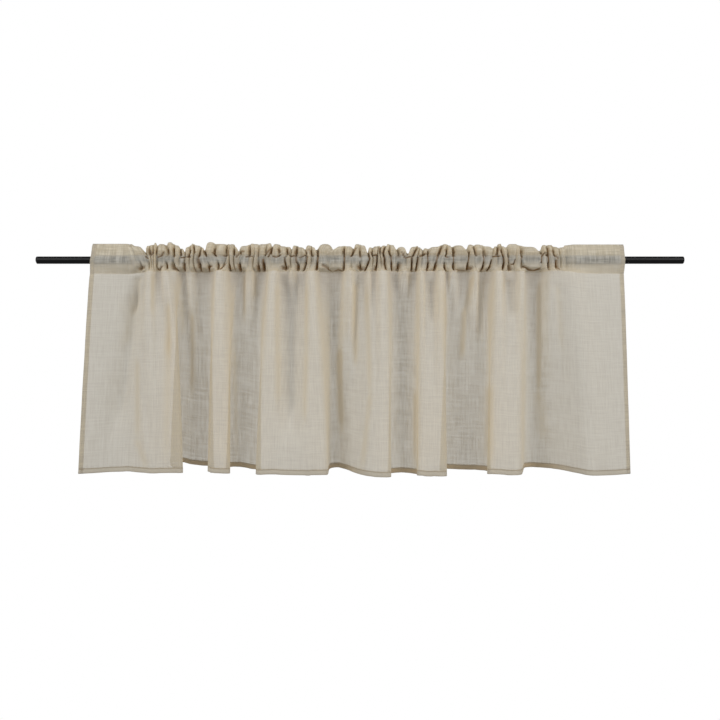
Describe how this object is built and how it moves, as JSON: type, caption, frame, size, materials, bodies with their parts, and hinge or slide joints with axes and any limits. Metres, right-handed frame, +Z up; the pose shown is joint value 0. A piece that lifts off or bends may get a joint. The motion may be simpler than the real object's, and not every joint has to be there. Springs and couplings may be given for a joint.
{
  "type": "window valance on a rod",
  "caption": "Sheer linen-look valance gathered on a plain round rod through the pocket along its top edge, hanging in uneven soft folds.",
  "frame": {"origin": "on the rod's axis, halfway along it, where the rod's supports hold it", "axes": "+X along the rod, to the right as seen from the room; -Y towards the room; +Z up"},
  "size_m": [1.404, 0.123, 0.5017],
  "materials": {
    "linen": "open plain weave of slubby flax-coloured yarn, matte and slightly see-through",
    "black_paint": "satin black paint on a steel tube"
  },
  "bodies": {
    "root": {"valance_cloth": "linen", "rod": "black_paint"}
  },
  "joints": []
}
